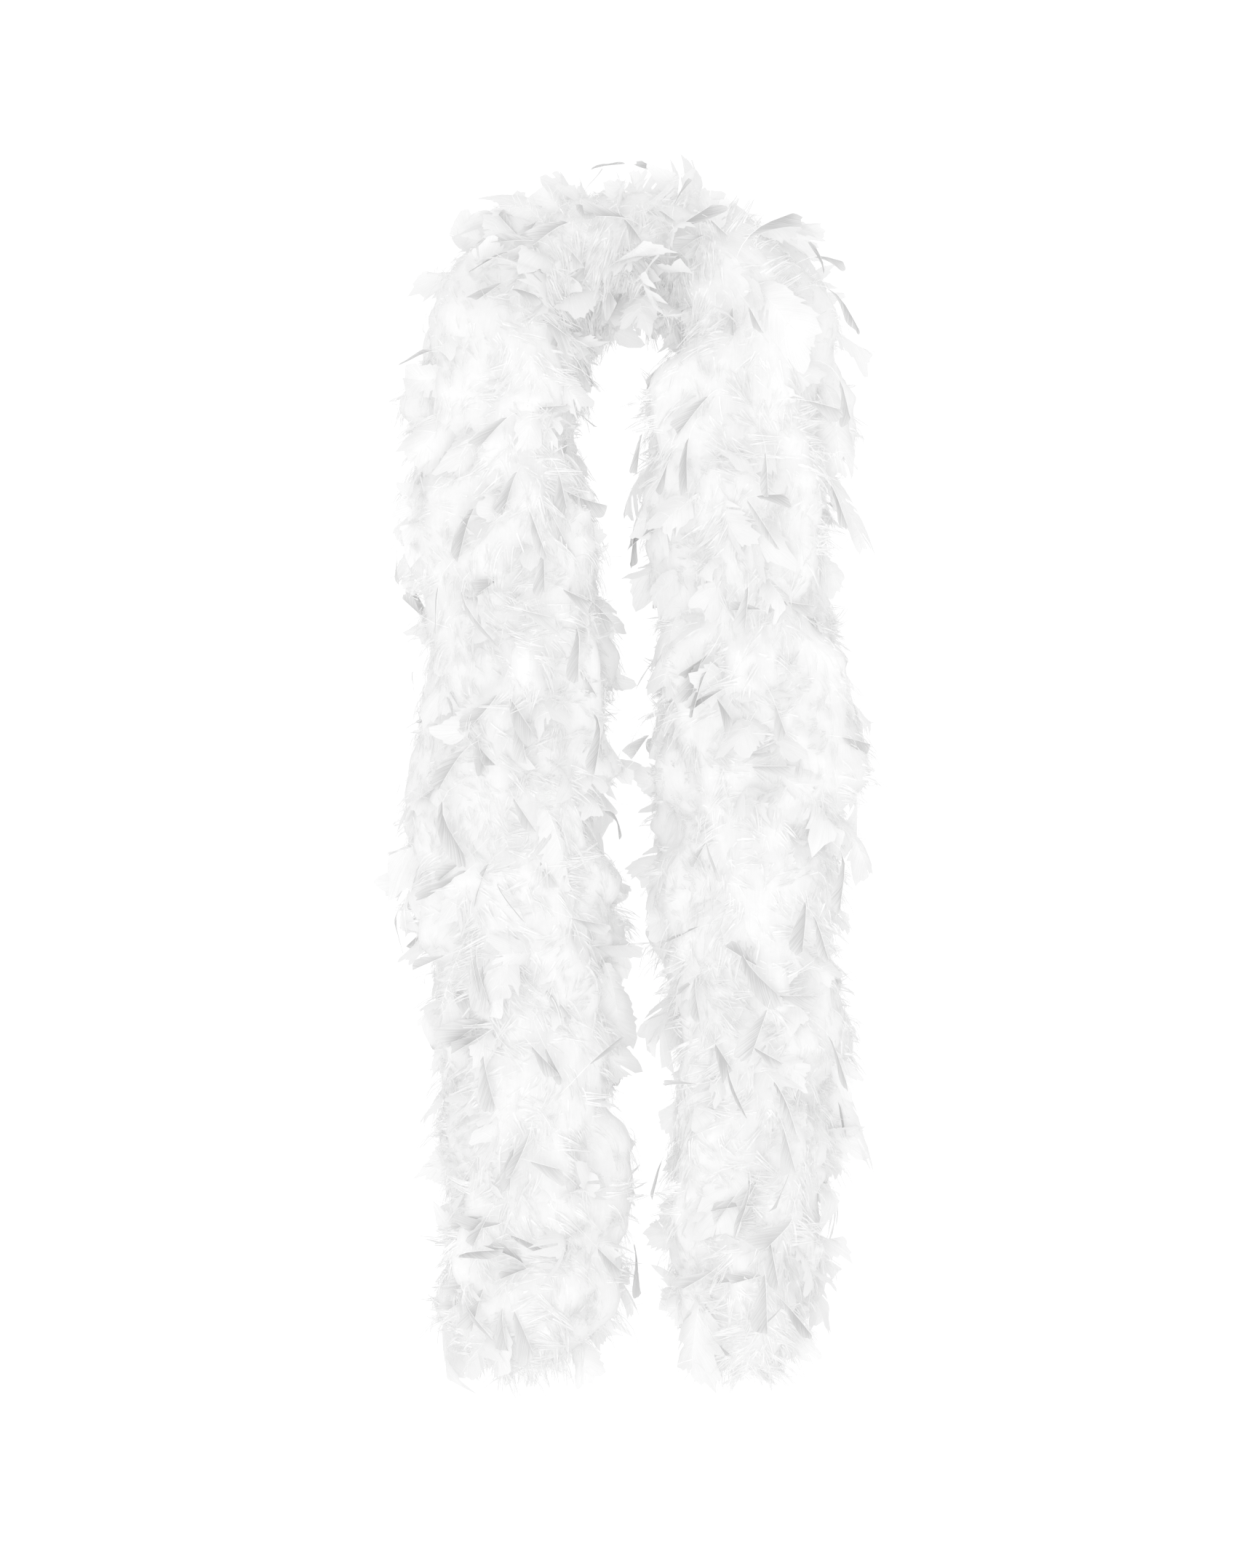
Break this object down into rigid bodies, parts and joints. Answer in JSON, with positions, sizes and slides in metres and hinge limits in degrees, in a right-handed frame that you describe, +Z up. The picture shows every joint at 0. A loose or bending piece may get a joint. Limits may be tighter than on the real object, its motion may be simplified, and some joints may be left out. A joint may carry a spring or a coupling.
{
  "type": "feather boa",
  "caption": "Soft white boa of curled feathers with down, bound along a limp core cord and hung by its neck loop with both tails straight down.",
  "frame": {"origin": "underside of the pile at the top of the neck loop, where the boa rests on a neck or a peg", "axes": "+Z up, front faces -Y, the tails hang at -X and +X"},
  "size_m": [0.3564, 0.1868, 0.9386],
  "materials": {
    "core_cord": "twisted cotton, matt",
    "thread": "fine polyester thread, slight sheen",
    "feather_vane": "bleached feather vane, silky",
    "feather_down": "bleached down, matt and translucent"
  },
  "bodies": {
    "neck_loop": {"loop_core_cord": "core_cord", "loop_lashings": "thread", "loop_feathers": "feather_vane", "right_shoulder_down": "feather_down", "nape_down": "feather_down", "left_shoulder_down": "feather_down"},
    "left_1": {"left_1_core_cord": "core_cord", "left_1_lashings": "thread", "left_1_feathers": "feather_vane", "left_1_down": "feather_down"},
    "left_2": {"left_2_core_cord": "core_cord", "left_2_lashings": "thread", "left_2_feathers": "feather_vane", "left_2_down": "feather_down"},
    "left_3": {"left_3_core_cord": "core_cord", "left_3_lashings": "thread", "left_3_feathers": "feather_vane", "left_3_down": "feather_down"},
    "left_4": {"left_4_core_cord": "core_cord", "left_4_lashings": "thread", "left_4_feathers": "feather_vane", "left_4_down": "feather_down"},
    "left_5": {"left_5_core_cord": "core_cord", "left_5_lashings": "thread", "left_5_feathers": "feather_vane", "left_5_down": "feather_down", "left_end_knot": "core_cord", "left_end_tuft": "feather_vane"},
    "right_1": {"right_1_core_cord": "core_cord", "right_1_lashings": "thread", "right_1_feathers": "feather_vane", "right_1_down": "feather_down"},
    "right_2": {"right_2_core_cord": "core_cord", "right_2_lashings": "thread", "right_2_feathers": "feather_vane", "right_2_down": "feather_down"},
    "right_3": {"right_3_core_cord": "core_cord", "right_3_lashings": "thread", "right_3_feathers": "feather_vane", "right_3_down": "feather_down"},
    "right_4": {"right_4_core_cord": "core_cord", "right_4_lashings": "thread", "right_4_feathers": "feather_vane", "right_4_down": "feather_down"},
    "right_5": {"right_5_core_cord": "core_cord", "right_5_lashings": "thread", "right_5_feathers": "feather_vane", "right_5_down": "feather_down", "right_end_knot": "core_cord", "right_end_tuft": "feather_vane"}
  },
  "joints": [
    {"name": "left_1_sideways", "type": "hinge", "parent": "neck_loop", "child": "left_1", "pos_m": [-0.086, -0.00983, -0.03671], "axis": [0, 1, 0], "range_deg": [0, 45]},
    {"name": "left_2_fore_aft", "type": "hinge", "parent": "left_1", "child": "left_2", "pos_m": [-0.086, -0.00983, -0.18271], "axis": [1, 0, 0], "range_deg": [-40, 40]},
    {"name": "left_3_sideways", "type": "hinge", "parent": "left_2", "child": "left_3", "pos_m": [-0.086, -0.00983, -0.32871], "axis": [0, 1, 0], "range_deg": [0, 45]},
    {"name": "left_4_fore_aft", "type": "hinge", "parent": "left_3", "child": "left_4", "pos_m": [-0.086, -0.00983, -0.4747], "axis": [1, 0, 0], "range_deg": [-40, 40]},
    {"name": "left_5_sideways", "type": "hinge", "parent": "left_4", "child": "left_5", "pos_m": [-0.086, -0.00983, -0.6207], "axis": [0, 1, 0], "range_deg": [0, 45]},
    {"name": "right_1_sideways", "type": "hinge", "parent": "neck_loop", "child": "right_1", "pos_m": [0.086, -0.00983, -0.03671], "axis": [0, -1, 0], "range_deg": [0, 45]},
    {"name": "right_2_fore_aft", "type": "hinge", "parent": "right_1", "child": "right_2", "pos_m": [0.086, -0.00983, -0.18271], "axis": [1, 0, 0], "range_deg": [-40, 40]},
    {"name": "right_3_sideways", "type": "hinge", "parent": "right_2", "child": "right_3", "pos_m": [0.086, -0.00983, -0.32871], "axis": [0, -1, 0], "range_deg": [0, 45]},
    {"name": "right_4_fore_aft", "type": "hinge", "parent": "right_3", "child": "right_4", "pos_m": [0.086, -0.00983, -0.4747], "axis": [1, 0, 0], "range_deg": [-40, 40]},
    {"name": "right_5_sideways", "type": "hinge", "parent": "right_4", "child": "right_5", "pos_m": [0.086, -0.00983, -0.6207], "axis": [0, -1, 0], "range_deg": [0, 45]}
  ]
}
